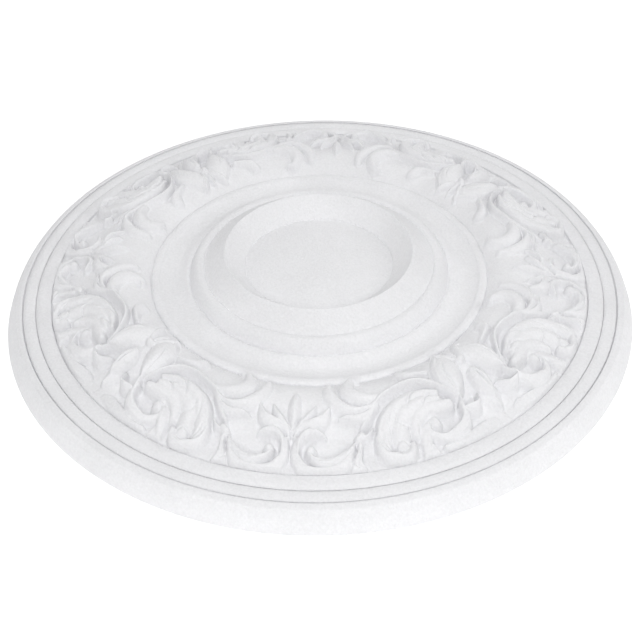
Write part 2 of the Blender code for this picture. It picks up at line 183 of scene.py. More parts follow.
PALMETTE = (
    (RIDGED,
     ((0.0, 0.62), (0.0, 0.52), (0.0, 0.41), (0.0, 0.31), (0.0, 0.24)),
     (0.013, 0.045, 0.06, 0.042, 0.007),
     (0.062, 0.074, 0.086, 0.065, 0.041)),
    (RIDGED,
     ((0.4, 0.62), (1.6, 0.56), (3.0, 0.51), (4.3, 0.45), (5.2, 0.38)),
     (0.013, 0.029, 0.04, 0.031, 0.007),
     (0.049, 0.07, 0.088, 0.078, 0.046)),
    (RIGHT_HIGH,
     ((0.5, 0.67), (1.4, 0.61), (3.0, 0.57), (5.0, 0.56), (6.8, 0.52), (8.3, 0.4)),
     (0.013, 0.027, 0.04, 0.051, 0.047, 0.011),
     (0.061, 0.07, 0.088, 0.113, 0.103, 0.053)),
    (ROUND,
     ((1.5, 0.83), (1.7, 0.72), (2.6, 0.66), (3.9, 0.63), (5.4, 0.64), (6.8, 0.67)),
     (0.022, 0.033, 0.04, 0.043, 0.04, 0.024),
     (0.1, 0.094, 0.095, 0.093, 0.091, 0.078)),
)
SMALL_SCROLL = (
    (LEFT_HIGH,
     ((12.5, 0.8), (11.1, 0.91), (8.9, 0.98), (6.0, 1.0), (3.1, 0.97), (1.5, 0.88), (0.8, 0.79),
      (1.0, 0.68)),
     (0.018, 0.041, 0.054, 0.059, 0.059, 0.05, 0.033, 0.018),
     (0.111, 0.108, 0.088, 0.076, 0.082, 0.091, 0.09, 0.066)),
    (RIGHT_HIGH,
     ((12.8, 0.75), (11.1, 0.83), (8.9, 0.9), (7.0, 0.92), (5.0, 0.89), (3.9, 0.84)),
     (0.014, 0.027, 0.033, 0.034, 0.033, 0.027),
     (0.103, 0.132, 0.145, 0.144, 0.134, 0.121)),
    (ROUND,
     ((4.1, 0.81),),
     (0.058,),
     (0.119,)),
    (ROUND,
     ((13.7, 0.72), (14.5, 0.69)),
     (0.042, 0.042),
     (0.106, 0.097)),
    (HOLLOWED,
     ((13.9, 0.77), (13.3, 0.86), (12.9, 0.93), (12.9, 1.01), (12.9, 1.07)),
     (0.022, 0.027, 0.045, 0.081, 0.108),
     (0.103, 0.106, 0.091, 0.063, 0.044)),
    (RIDGED,
     ((14.6, 0.63), (15.7, 0.58), (16.9, 0.54), (18.3, 0.49)),
     (0.018, 0.036, 0.031, 0.009),
     (0.071, 0.078, 0.081, 0.083)),
    (RIDGED,
     ((14.8, 0.71), (16.1, 0.69), (17.1, 0.65)),
     (0.018, 0.027, 0.014),
     (0.089, 0.097, 0.098)),
)
RING_SIDE_LOBES = (
    (RIGHT_HIGH,
     ((10.0, 0.52), (11.9, 0.52), (13.9, 0.54), (15.8, 0.53), (17.8, 0.49), (19.4, 0.44)),
     (0.007, 0.022, 0.031, 0.031, 0.027, 0.018),
     (0.074, 0.093, 0.107, 0.111, 0.102, 0.09)),
    (ROUND,
     ((19.1, 0.41), (16.8, 0.46), (13.8, 0.47), (11.4, 0.42), (9.3, 0.33), (8.3, 0.22),
      (8.3, 0.14)),
     (0.014, 0.027, 0.045, 0.063, 0.069, 0.058, 0.041),
     (0.074, 0.097, 0.106, 0.091, 0.064, 0.053, 0.055)),
    (ROUND,
     ((19.8, 0.37), (17.3, 0.37), (15.0, 0.33), (13.4, 0.25), (13.3, 0.16), (14.7, 0.08),
      (16.7, 0.08)),
     (0.05, 0.072, 0.087, 0.085, 0.069, 0.045, 0.022),
     (0.083, 0.097, 0.093, 0.077, 0.075, 0.087, 0.069)),
    (ROUND,
     ((34.7, 0.26), (31.6, 0.23), (29.5, 0.19), (28.6, 0.14)),
     (0.027, 0.04, 0.063, 0.063),
     (0.077, 0.083, 0.08, 0.074)),
)
SHELL = (
    (ROUND,
     ((17.4, 0.47), (18.9, 0.43), (21.1, 0.37), (23.5, 0.34), (26.4, 0.31), (29.4, 0.31),
      (31.8, 0.34), (34.1, 0.41), (35.9, 0.49), (37.1, 0.6)),
     (0.009, 0.02, 0.033, 0.036, 0.036, 0.034, 0.033, 0.027, 0.022, 0.016),
     (0.099, 0.101, 0.102, 0.104, 0.103, 0.103, 0.104, 0.108, 0.111, 0.126)),
    (ROUND,
     ((18.6, 0.91), (18.9, 0.75), (20.2, 0.63), (22.6, 0.54), (26.0, 0.48), (29.9, 0.46),
      (33.4, 0.5)),
     (0.054, 0.081, 0.099, 0.099, 0.081, 0.063, 0.036),
     (0.108, 0.128, 0.126, 0.124, 0.12, 0.111, 0.116)),
    (ROUND,
     ((21.7, 0.93), (22.1, 0.75), (23.2, 0.64), (25.5, 0.57), (28.9, 0.54), (32.8, 0.56)),
     (0.072, 0.104, 0.099, 0.09, 0.081, 0.054),
     (0.104, 0.127, 0.127, 0.13, 0.127, 0.128)),
    (ROUND,
     ((25.4, 0.77), (26.3, 0.68), (28.5, 0.61), (31.4, 0.61), (34.8, 0.63)),
     (0.054, 0.081, 0.09, 0.081, 0.054),
     (0.102, 0.112, 0.12, 0.128, 0.133)),
    (LEFT_HIGH,
     ((17.6, 0.76), (18.3, 0.66), (19.8, 0.57), (22.1, 0.5), (25.2, 0.44)),
     (0.024, 0.025, 0.024, 0.022, 0.018),
     (0.136, 0.141, 0.139, 0.13, 0.122)),
    (ROUND,
     ((17.4, 0.74), (17.6, 0.85), (18.7, 0.92), (20.3, 0.94)),
     (0.024, 0.04, 0.047, 0.051),
     (0.111, 0.124, 0.122, 0.118)),
    (ROUND,
     ((20.1, 0.94), (21.6, 0.97), (23.2, 0.93), (23.9, 0.87)),
     (0.045, 0.05, 0.047, 0.04),
     (0.118, 0.116, 0.117, 0.117)),
)
LARGE_SCROLL = (
    (LEFT_HIGH,
     ((25.7, 0.97), (26.4, 0.89), (27.1, 0.82), (28.0, 0.74)),
     (0.032, 0.051, 0.063, 0.063),
     (0.044, 0.08, 0.097, 0.098)),
    (ROUND,
     ((30.0, 0.73),),
     (0.072,),
     (0.106,)),
    (LEFT_HIGH,
     ((37.1, 0.68), (36.9, 0.77), (35.8, 0.84), (34.0, 0.88), (31.7, 0.89), (29.8, 0.86),
      (28.5, 0.8)),
     (0.027, 0.041, 0.058, 0.065, 0.056, 0.042, 0.033),
     (0.148, 0.159, 0.152, 0.138, 0.122, 0.107, 0.098)),
    (HOLLOWED,
     ((26.8, 0.85), (26.8, 0.94), (26.9, 1.05)),
     (0.045, 0.072, 0.099),
     (0.073, 0.061, 0.044)),
    (LEFT_HIGH,
     ((42.1, 0.91), (40.3, 0.91), (37.8, 0.93), (35.1, 0.97), (32.6, 0.98), (29.9, 0.96)),
     (0.036, 0.059, 0.063, 0.054, 0.045, 0.027),
     (0.02, 0.035, 0.056, 0.066, 0.066, 0.069)),
    (ROUND,
     ((37.0, 0.72), (38.0, 0.62)),
     (0.031, 0.027),
     (0.15, 0.119)),
)
PENDANT = (
    (RIDGED,
     ((37.5, 0.74), (38.9, 0.76), (40.7, 0.74), (42.0, 0.65)),
     (0.023, 0.041, 0.036, 0.011),
     (0.175, 0.182, 0.162, 0.113)),
    (ROUND,
     ((38.0, 0.59), (38.5, 0.52), (38.9, 0.43), (39.7, 0.33), (40.7, 0.23)),
     (0.027, 0.081, 0.122, 0.14, 0.108),
     (0.137, 0.141, 0.131, 0.109, 0.082)),
    (ROUND,
     ((37.1, 0.5), (36.5, 0.39), (37.2, 0.31), (38.5, 0.21), (40.5, 0.13)),
     (0.014, 0.033, 0.038, 0.036, 0.027),
     (0.099, 0.087, 0.077, 0.069, 0.07)),
    (RIDGED,
     ((45.0, 0.84), (45.0, 0.74), (45.0, 0.62), (45.0, 0.5), (45.0, 0.41), (45.0, 0.34)),
     (0.027, 0.081, 0.127, 0.127, 0.09, 0.027),
     (0.077, 0.081, 0.068, 0.047, 0.036, 0.031)),
    (ROUND,
     ((45.0, 0.73), (45.0, 0.67), (45.0, 0.6), (45.0, 0.54), (45.0, 0.48)),
     (0.032, 0.068, 0.09, 0.09, 0.063),
     (0.147, 0.163, 0.165, 0.151, 0.121)),
    (ROUND,
     ((45.0, 0.31),),
     (0.051,),
     (0.113,)),
    (RIDGED,
     ((45.0, 0.26), (45.0, 0.18), (45.0, 0.1)),
     (0.024, 0.034, 0.018),
     (0.064, 0.065, 0.054)),
    (ROUND,
     ((44.2, 0.29), (42.8, 0.21), (41.4, 0.12), (40.6, 0.08)),
     (0.02, 0.038, 0.034, 0.014),
     (0.063, 0.076, 0.081, 0.072)),
)
STROKES = PALMETTE + SMALL_SCROLL + RING_SIDE_LOBES + SHELL + LARGE_SCROLL + PENDANT

# Each groove is a path of the same kind, then half widths and depths in shares of the
# frieze's width. It is cut into the strokes under it.
SHELL_GROOVES = (
    (((17.6, 0.7), (17.6, 0.62), (18.8, 0.52), (21.5, 0.41), (24.9, 0.35), (28.7, 0.33),
      (32.1, 0.36), (34.9, 0.46)),
     (0.013, 0.018, 0.018, 0.016, 0.014, 0.012, 0.011, 0.011),
     (0.027, 0.045, 0.045, 0.041, 0.032, 0.023, 0.023, 0.018)),
    (((20.6, 0.75), (20.4, 0.69), (20.5, 0.63), (20.9, 0.58), (21.4, 0.53)),
     (0.009, 0.014, 0.014, 0.014, 0.009),
     (0.011, 0.02, 0.022, 0.02, 0.007)),
    (((25.0, 0.74), (24.2, 0.7), (23.1, 0.69), (22.3, 0.66), (22.2, 0.62), (22.5, 0.57),
      (23.1, 0.54)),
     (0.009, 0.015, 0.015, 0.014, 0.014, 0.014, 0.009),
     (0.014, 0.029, 0.027, 0.024, 0.02, 0.014, 0.007)),
    (((25.4, 0.56), (26.0, 0.51), (27.0, 0.46), (28.3, 0.43), (30.0, 0.42), (32.6, 0.43)),
     (0.011, 0.015, 0.018, 0.015, 0.012, 0.009),
     (0.014, 0.027, 0.036, 0.027, 0.018, 0.009)),
    (((28.9, 0.57), (29.4, 0.55), (30.3, 0.52), (31.5, 0.5), (32.6, 0.5), (33.5, 0.52)),
     (0.011, 0.015, 0.016, 0.014, 0.011, 0.007),
     (0.018, 0.033, 0.034, 0.024, 0.014, 0.007)),
    (((18.7, 0.73), (18.6, 0.76), (18.7, 0.82), (19.3, 0.87), (20.1, 0.89)),
     (0.011, 0.014, 0.014, 0.013, 0.013),
     (0.009, 0.018, 0.024, 0.022, 0.024)),
    (((20.1, 0.9), (20.9, 0.92), (21.7, 0.92), (22.5, 0.9)),
     (0.016, 0.016, 0.014, 0.009),
     (0.041, 0.045, 0.036, 0.018)),
    (((20.1, 0.89), (20.4, 0.86), (21.2, 0.83), (22.0, 0.82), (22.8, 0.85), (23.3, 0.89),
      (23.6, 0.95)),
     (0.018, 0.018, 0.015, 0.014, 0.013, 0.012, 0.009),
     (0.045, 0.041, 0.033, 0.025, 0.022, 0.02, 0.014)),
)
LARGE_SCROLL_GROOVES = (
    (((23.7, 0.98), (24.4, 0.95), (25.3, 0.91), (25.7, 0.86), (26.0, 0.79), (26.8, 0.73),
      (28.0, 0.69), (29.3, 0.66), (30.4, 0.66), (31.2, 0.68), (31.3, 0.73), (31.0, 0.77)),
     (0.011, 0.016, 0.018, 0.014, 0.015, 0.016, 0.016, 0.015, 0.013, 0.012, 0.011, 0.009),
     (0.027, 0.041, 0.041, 0.031, 0.036, 0.041, 0.041, 0.036, 0.029, 0.024, 0.018, 0.013)),
    (((29.3, 0.72), (29.0, 0.75), (29.1, 0.79), (29.8, 0.82), (30.6, 0.85), (31.7, 0.85),
      (32.8, 0.83), (33.4, 0.8), (34.4, 0.78), (35.3, 0.77)),
     (0.016, 0.014, 0.013, 0.014, 0.015, 0.016, 0.018, 0.018, 0.014, 0.009),
     (0.036, 0.033, 0.029, 0.031, 0.034, 0.034, 0.036, 0.036, 0.027, 0.018)),
    (((31.5, 0.94), (32.8, 0.93), (34.2, 0.92), (35.4, 0.9), (36.6, 0.88), (37.9, 0.87),
      (39.4, 0.86), (40.8, 0.88)),
     (0.009, 0.014, 0.014, 0.016, 0.016, 0.014, 0.012, 0.009),
     (0.013, 0.024, 0.027, 0.033, 0.036, 0.031, 0.024, 0.014)),
)
SMALL_SCROLL_GROOVES = (
    (((13.2, 0.74), (11.0, 0.84), (8.6, 0.92), (6.3, 0.92), (4.0, 0.9), (2.9, 0.81),
      (3.1, 0.74), (4.4, 0.71), (5.2, 0.74)),
     (0.011, 0.014, 0.014, 0.013, 0.013, 0.012, 0.011, 0.01, 0.007),
     (0.022, 0.031, 0.031, 0.029, 0.025, 0.024, 0.022, 0.018, 0.011)),
    (((14.9, 1.01), (13.0, 0.96), (12.0, 0.91), (12.4, 0.85), (13.3, 0.8)),
     (0.009, 0.012, 0.013, 0.013, 0.011),
     (0.018, 0.027, 0.029, 0.029, 0.024)),
)
PENDANT_GROOVES = (
    (((45.0, 0.68), (45.0, 0.59), (45.0, 0.5)),
     (0.011, 0.018, 0.013),
     (0.018, 0.05, 0.018)),
    (((37.4, 0.67), (37.8, 0.57), (37.9, 0.45), (38.4, 0.35), (39.7, 0.26)),
     (0.011, 0.014, 0.014, 0.013, 0.009),
     (0.022, 0.033, 0.033, 0.027, 0.018)),
)
GROOVES = SHELL_GROOVES + LARGE_SCROLL_GROOVES + SMALL_SCROLL_GROOVES + PENDANT_GROOVES


def curve_through(values, shares):
    """Read a smooth curve through evenly spaced values at each share of its length."""
    values = np.atleast_2d(np.asarray(values, float).T).T
    if len(values) == 1:
        return np.repeat(values, len(shares), axis=0)
    padded = np.vstack([2 * values[0] - values[1], values, 2 * values[-1] - values[-2]])
    position = np.asarray(shares) * (len(values) - 1)
    start = np.minimum(position.astype(int), len(values) - 2)
    t = (position - start)[:, None]
    before, first, second, after = (padded[start + step] for step in range(4))
    return 0.5 * (2 * first + (second - before) * t
                  + (2 * before - 5 * first + 4 * second - after) * t ** 2
                  + (3 * first - before - 3 * second + after) * t ** 3)


def section_height(section, across, side):
    """Height of a stroke's section, from 1 at its highest to 0 at its edges."""
    edge = np.clip(1 - across ** 2, 0, 1)
    if section == RIDGED:
        return (1 - RIDGE_SHARE) * edge ** SECTION_POWER + RIDGE_SHARE * np.clip(1 - across, 0, 1)
    if section == HOLLOWED:
        hollow = 1 - HOLLOW_SHARE + HOLLOW_SHARE * across ** 2
        return np.clip(1 - across ** HOLLOW_FLATNESS, 0, 1) ** 0.5 * hollow
    if section in (LEFT_HIGH, RIGHT_HIGH):
        lean = side if section == LEFT_HIGH else -side
        slope = LEAN_MIDDLE + (1 - LEAN_MIDDLE) * lean * across
        return np.clip(1 - across ** LEAN_FLATNESS, 0, 1) ** SECTION_POWER * slope
    return edge ** SECTION_POWER


def carving_height(degrees, share, sizes):
    """Height of the carving above the frieze, in metres, at places in one half repeat."""
    width = sizes.frieze_outer - sizes.frieze_inner

    def plan(angle, across):
        radius = sizes.frieze_inner + across * width
        angle = np.radians(angle)
        return np.stack([radius * np.sin(angle), radius * np.cos(angle)], -1)

    places = plan(degrees, share)
    height = np.zeros(len(places))

    def sweep(path, half_widths, heights):
        """Places that a stroke may reach, how far across it each is, on which side, its height."""
        steps = np.linspace(0, 1, STROKE_STEPS) if len(path) > 1 else np.zeros(1)
        route = curve_through(path, steps)
        centres = plan(route[:, 0], route[:, 1])
        reach = np.maximum(curve_through(half_widths, steps)[:, 0], THINNEST) * width
        rise = curve_through(heights, steps)[:, 0] * width
        low = (centres - reach[:, None]).min(axis=0)
        high = (centres + reach[:, None]).max(axis=0)
        inside = np.where(((places >= low) & (places <= high)).all(axis=1))[0]
        across = np.linalg.norm(places[inside, None] - centres[None], axis=2) / reach
        nearest = across.argmin(axis=1)
        heading = np.gradient(centres, axis=0) if len(path) > 1 else np.zeros((1, 2))
        offset = places[inside] - centres[nearest]
        turn = heading[nearest, 0] * offset[:, 1] - heading[nearest, 1] * offset[:, 0]
        return inside, across[np.arange(len(inside)), nearest], np.sign(turn), rise[nearest]

    for section, path, half_widths, heights in STROKES:
        inside, across, side, rise = sweep(path, half_widths, heights)
        stroke = np.where(across < 1, rise * section_height(section, across, side), 0)
        height[inside] = np.maximum(height[inside], stroke)
    for path, half_widths, depths in GROOVES:
        inside, across, _, depth = sweep(path, half_widths, depths)
        cut = depth * np.clip(1 - across, 0, 1) ** GROOVE_POWER
        height[inside] = np.maximum(height[inside] - cut, 0)
    fade = np.clip((1 - share) / EDGE_FADE, 0, 1) * np.clip((share + EDGE_FADE) / EDGE_FADE, 0, 1)
    return height * fade


class RoseMouldings(bpy.types.PropertyGroup):
    """Radii and heights of the turned mouldings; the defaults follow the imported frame."""

    outer_radius: FloatProperty(
        name="Outer radius", description="Half the rose's width", unit="LENGTH",
        default=OUTER_RADIUS)
    rim_thickness: FloatProperty(
        name="Rim thickness", description="Height of the edge of the face", unit="LENGTH",
        default=0.0617 * OUTER_RADIUS)
    frieze_outer: FloatProperty(
        name="Frieze outer radius", description="Crease between frieze and rim", unit="LENGTH",
        default=0.854 * OUTER_RADIUS)
    frieze_inner: FloatProperty(
        name="Frieze inner radius", description="Valley between frieze and ring", unit="LENGTH",
        default=0.538 * OUTER_RADIUS)
    ring_height: FloatProperty(
        name="Ring height", description="Crest of the rounded ring", unit="LENGTH",
        default=0.0971 * OUTER_RADIUS)
    collar_radius: FloatProperty(
        name="Collar radius", description="Crest of the roll round the boss", unit="LENGTH",
        default=0.386 * OUTER_RADIUS)
    boss_radius: FloatProperty(
        name="Boss radius", description="Sharp rim of the boss", unit="LENGTH",
        default=0.298 * OUTER_RADIUS)
    boss_height: FloatProperty(
        name="Boss height", description="Height of the boss's rim above the back", unit="LENGTH",
        default=OVERALL_HEIGHT)
    dish_radius: FloatProperty(
        name="Dish radius", description="Edge of the dish in the boss", unit="LENGTH",
        default=0.236 * OUTER_RADIUS)
    steps: IntProperty(
        name="Steps round", description="Facets round the turned body", default=420, min=24)


class RoseCarving(bpy.types.PropertyGroup):
    """How the frieze is carved."""

    columns: IntProperty(
        name="Columns", description="Facets along half a repeat", default=290, min=20)
    rows: IntProperty(
        name="Rows", description="Facets across the frieze", default=165, min=20)
    depth: FloatProperty(
        name="Depth", description="Carving height against its drawn height", default=1.0, min=0.0)
    softness: IntProperty(
        name="Softness", description="Rounds of smoothing that the moulding gave its edges",
        default=2, min=0)


class RoseFinish(bpy.types.PropertyGroup):
    """Paint and grain of the rose."""

    paint: FloatVectorProperty(
        name="Paint", description="Colour of the primer", subtype="COLOR", size=4,
        default=(0.855, 0.855, 0.870, 1.0))
    roughness: FloatProperty(
        name="Roughness", description="Sheen of the primer", subtype="FACTOR", default=0.72)
    grain_size: FloatProperty(
        name="Grain size", description="Width of the pebbled grain", unit="LENGTH", default=0.0026)
    grain_depth: FloatProperty(
        name="Grain depth", description="Depth of the pebbled grain", unit="LENGTH", default=0.0009)


class RoseStage(bpy.types.PropertyGroup):
    """Floor, light and camera."""

    floor_colour: FloatVectorProperty(
        name="Floor colour", description="Plain pale floor", subtype="COLOR", size=4,
        default=(0.93, 0.93, 0.93, 1.0))
    floor_glow: FloatProperty(
        name="Floor glow", description="Light of its own that keeps the floor white", default=0.45)
    sky_strength: FloatProperty(
        name="Sky strength", description="Even light from all round", default=0.27)
    key_power: FloatProperty(
        name="Key power", description="Soft light from the camera's side", unit="POWER",
        default=12.2)
    camera_distance: FloatProperty(
        name="Camera distance", description="From the middle of the back", unit="LENGTH",
        default=3.6014 * OUTER_RADIUS)
    camera_elevation: FloatProperty(
        name="Camera elevation", description="Above the floor", subtype="ANGLE",
        default=math.radians(39.51))
    camera_turn: FloatProperty(
        name="Camera turn", description="Round the rose from a palmette's axis", subtype="ANGLE",
        default=math.radians(6.38))
    focal_pixels: FloatProperty(
        name="Focal length", description="In pixels of the square picture", default=1100.0)


def arch(start, end, crest, count):
    """Points of a rounded moulding between two feet, up to a crest height, feet left out."""
    points = []
    for index in range(1, count + 1):
        turn = math.pi * index / (count + 1)
        share = 0.5 - 0.5 * math.cos(turn)
        foot = start[1] + (end[1] - start[1]) * share
        rise = (crest - foot) * math.sin(turn)
        points.append((start[0] + (end[0] - start[0]) * share, foot + rise))
    return points


def smooth_line(points, count):
    """Read a smooth line through a few points."""
    values = curve_through(points, np.linspace(0, 1, count))
    return [tuple(value) for value in values]


def crease(foot, unit):
    """Points of the narrow groove where two mouldings meet."""
    return [(foot[0] - CREASE_HALF_WIDTH * unit, foot[1]), (foot[0], foot[1] - CREASE_DEPTH * unit),
            (foot[0] + CREASE_HALF_WIDTH * unit, foot[1])]


def past(edge, places, unit):
    """Points at distances past an edge and at heights, both in shares of the unit."""
    return [(edge + out * unit, height * unit) for out, height in places]


def beside(point, moves, unit):
    """Points a little way from another, in shares of the unit."""
    return [(point[0] + out * unit, point[1] + up * unit) for out, up in moves]


def turned_profile(sizes):
    """Outline from the middle of the face, over the rim, to the middle of the back."""
    unit = sizes.outer_radius
    dish = (sizes.dish_radius, DISH_EDGE_HEIGHT * unit)
    dish_wall = past(dish[0], DISH_WALL, unit)
    lip = dish_wall[-1]
    rim = (sizes.boss_radius, sizes.boss_height)
    boss_foot = past(sizes.collar_radius, (BOSS_FOOT,), unit)[0]
    collar = (sizes.collar_radius, COLLAR_HEIGHT * unit)
    collar_side = past(collar[0], COLLAR_SIDE, unit)
    collar_foot = collar_side[-1]
    ring_start = past(sizes.frieze_inner, (RING_FOOT,), unit)[0]
    ring_end = (sizes.frieze_inner, FRIEZE_INNER_HEIGHT)
    frieze_bed = FRIEZE_OUTER_HEIGHT - TUCK
    frieze_end = (sizes.frieze_outer, FRIEZE_OUTER_HEIGHT)
    roll_end = past(sizes.frieze_outer, (ROLL_FOOT,), unit)[0]
    bead_end = past(roll_end[0], (BEAD_FOOT,), unit)[0]
    step = past(bead_end[0], STEP, unit)
    edge = (bead_end[0] + EDGE_DISTANCE * unit, sizes.rim_thickness)
    outline = [(0.0, DISH_MIDDLE_HEIGHT * unit)]
    outline += smooth_line(past(0.0, DISH_FLOOR, unit) + [dish], count=14)
    outline += smooth_line([dish] + dish_wall, count=6)[1:]
    outline += past(lip[0], (LIP_TOP,), unit)
    outline += beside(rim, BOSS_RIM_INSIDE, unit) + [rim] + beside(rim, BOSS_RIM_OUTSIDE, unit)
    outline += smooth_line(past(rim[0], (BOSS_SIDE,), unit) + [boss_foot], count=5)
    outline += smooth_line([boss_foot] + past(boss_foot[0], (COLLAR_RISE,), unit) + [collar]
                           + collar_side, count=22)[1:]
    outline += smooth_line([collar_foot] + past(collar_foot[0], COVE_SHOULDER, unit)
                           + past(0.0, COVE_FLOOR, unit) + [ring_start], count=30)[1:-1]
    outline += [ring_start]
    outline += arch(ring_start, ring_end, sizes.ring_height, count=11) + [ring_end]
    outline += [(ring_end[0] + BED_MARGIN * unit, frieze_bed)]
    outline += [(frieze_end[0] - BED_MARGIN * unit, frieze_bed)] + crease(frieze_end, unit)
    outline += arch(frieze_end, roll_end, ROLL_CREST * unit, count=13) + crease(roll_end, unit)
    outline += arch(roll_end, bead_end, BEAD_CREST * unit, count=11) + crease(bead_end, unit)
    outline += step[:2] + smooth_line(step[2:] + [edge], count=4)
    outline += smooth_line(beside(edge, (EDGE_ROUNDING,), unit) + past(0.0, RIM_SIDE, unit),
                           count=10)
    outline += [(BACK_LOOP * unit, 0.0), (0.0, 0.0)]
    return outline


def frieze_height(radius, sizes):
    """Height of the frieze's cushioned ground at a radius; it dives under the mouldings beyond."""
    inner = (radius - sizes.frieze_inner) / (FRIEZE_CREST_RADIUS - sizes.frieze_inner)
    outer = (radius - FRIEZE_CREST_RADIUS) / (sizes.frieze_outer - FRIEZE_CREST_RADIUS)
    rise = np.clip(1 - inner, 0, None) ** INNER_SWELL
    fall = np.sin(0.5 * math.pi * np.clip(outer, 0, 1)) ** OUTER_SWELL
    height = FRIEZE_CREST_HEIGHT - (FRIEZE_CREST_HEIGHT - FRIEZE_INNER_HEIGHT) * rise
    height -= (FRIEZE_CREST_HEIGHT - FRIEZE_OUTER_HEIGHT) * fall
    dip_reach = 2 * CREASE_HALF_WIDTH * sizes.outer_radius
    dip = np.clip(1 - np.abs(radius - sizes.frieze_outer) / dip_reach, 0, 1)
    height -= CREASE_DEPTH * sizes.outer_radius * dip
    return height - np.clip(radius - sizes.frieze_outer, 0, None)


def soften(grid, rounds):
    """Smooth a grid of heights with a small bell-shaped brush."""
    for _ in range(rounds):
        for axis in (0, 1):
            margins = [(1, 1) if side == axis else (0, 0) for side in (0, 1)]
            padded = np.pad(grid, margins, mode="edge")
            low = np.take(padded, range(0, grid.shape[axis]), axis)
            high = np.take(padded, range(2, grid.shape[axis] + 2), axis)
            grid = 0.25 * low + 0.5 * grid + 0.25 * high
    return grid


def half_repeat_grid(sizes, carving):
    """Places and heights of one half repeat, from a palmette's middle to a pendant's middle."""
    width = sizes.frieze_outer - sizes.frieze_inner
    columns = carving.columns * OVERSAMPLE
    rows = carving.rows * OVERSAMPLE
    degrees = np.linspace(0, 180 / PALMETTES, columns + 1)
    share = np.linspace(-TUCK / width, 1 + TUCK / width, rows + 1)
    degrees, share = np.meshgrid(degrees, share, indexing="ij")
    flat = carving_height(degrees.ravel(), share.ravel(), sizes) * carving.depth
    relief = soften(flat.reshape(degrees.shape), carving.softness * OVERSAMPLE)
    radius = sizes.frieze_inner + share * width
    height = frieze_height(radius, sizes) + relief
    keep = (slice(None, None, OVERSAMPLE), slice(None, None, OVERSAMPLE))
    return np.radians(degrees[keep]), radius[keep], height[keep]


def grid_faces(columns, rows):
    """Quads of a grid whose points run along the rows first."""
    first = (np.arange(columns - 1)[:, None] * rows + np.arange(rows - 1)[None]).ravel()
    return np.stack([first, first + 1, first + rows + 1, first + rows], axis=1)


def half_repeat_block(sizes, carving):
    """The carved sheet with a skirt and an underside, open only at the palmette's middle."""
    angle, radius, height = half_repeat_grid(sizes, carving)
    columns, rows = angle.shape
    top = np.stack([radius * np.sin(angle), radius * np.cos(angle), height], axis=2).reshape(-1, 3)
    index = np.arange(columns * rows).reshape(columns, rows)
    flatten = np.array([1, 1, 0])
    lift = np.array([0, 0, SKIRT_HEIGHT])
    inner = index[:, 0]
    outer = index[:, -1]
    inner_foot = len(top) + np.arange(columns)
    outer_foot = inner_foot + columns
    points = np.concatenate([top, top[inner] * flatten + lift, top[outer] * flatten + lift])
    faces = grid_faces(columns, rows).tolist()
    for upper, lower in ((inner, inner_foot), (outer, outer_foot), (inner_foot, outer_foot)):
        faces += np.stack([upper[:-1], upper[1:], lower[1:], lower[:-1]], axis=1).tolist()
    faces.append(index[-1].tolist() + [int(outer_foot[-1]), int(inner_foot[-1])])
    mesh = bpy.data.meshes.new("half_repeat")
    mesh.from_pydata(points.tolist(), [], faces)
    shell = bmesh.new()
    shell.from_mesh(mesh)
    bmesh.ops.recalc_face_normals(shell, faces=shell.faces)
    shell.to_mesh(mesh)
    shell.free()
    return mesh


def new_tree(name, inputs):
    """Start a geometry tree with named inputs, and return it with its two end nodes."""
    tree = bpy.data.node_groups.new(name, "GeometryNodeTree")
    tree.interface.new_socket("Geometry", in_out="INPUT", socket_type="NodeSocketGeometry")
    for label, kind in inputs:
        tree.interface.new_socket(label, in_out="INPUT", socket_type=kind)
    tree.interface.new_socket("Geometry", in_out="OUTPUT", socket_type="NodeSocketGeometry")
    return tree, tree.nodes.new("NodeGroupInput"), tree.nodes.new("NodeGroupOutput")


def maths(tree, operation, first, second=None):
    """Add a maths node; each value is a socket or a number."""
    node = tree.nodes.new("ShaderNodeMath")
    node.operation = operation
    for socket, value in zip(node.inputs, (first, second)):
        if isinstance(value, bpy.types.NodeSocket):
            tree.links.new(value, socket)
        elif value is not None:
            socket.default_value = value
    return node.outputs[0]


def finish_tree(tree, geometry, given, result):
    """End a tree with real geometry in one material."""
    realize = tree.nodes.new("GeometryNodeRealizeInstances")
    paint = tree.nodes.new("GeometryNodeSetMaterial")
    tree.links.new(geometry, realize.inputs["Geometry"])
    tree.links.new(realize.outputs[0], paint.inputs["Geometry"])
    tree.links.new(given.outputs["Material"], paint.inputs["Material"])
    tree.links.new(paint.outputs[0], result.inputs[0])
    return tree


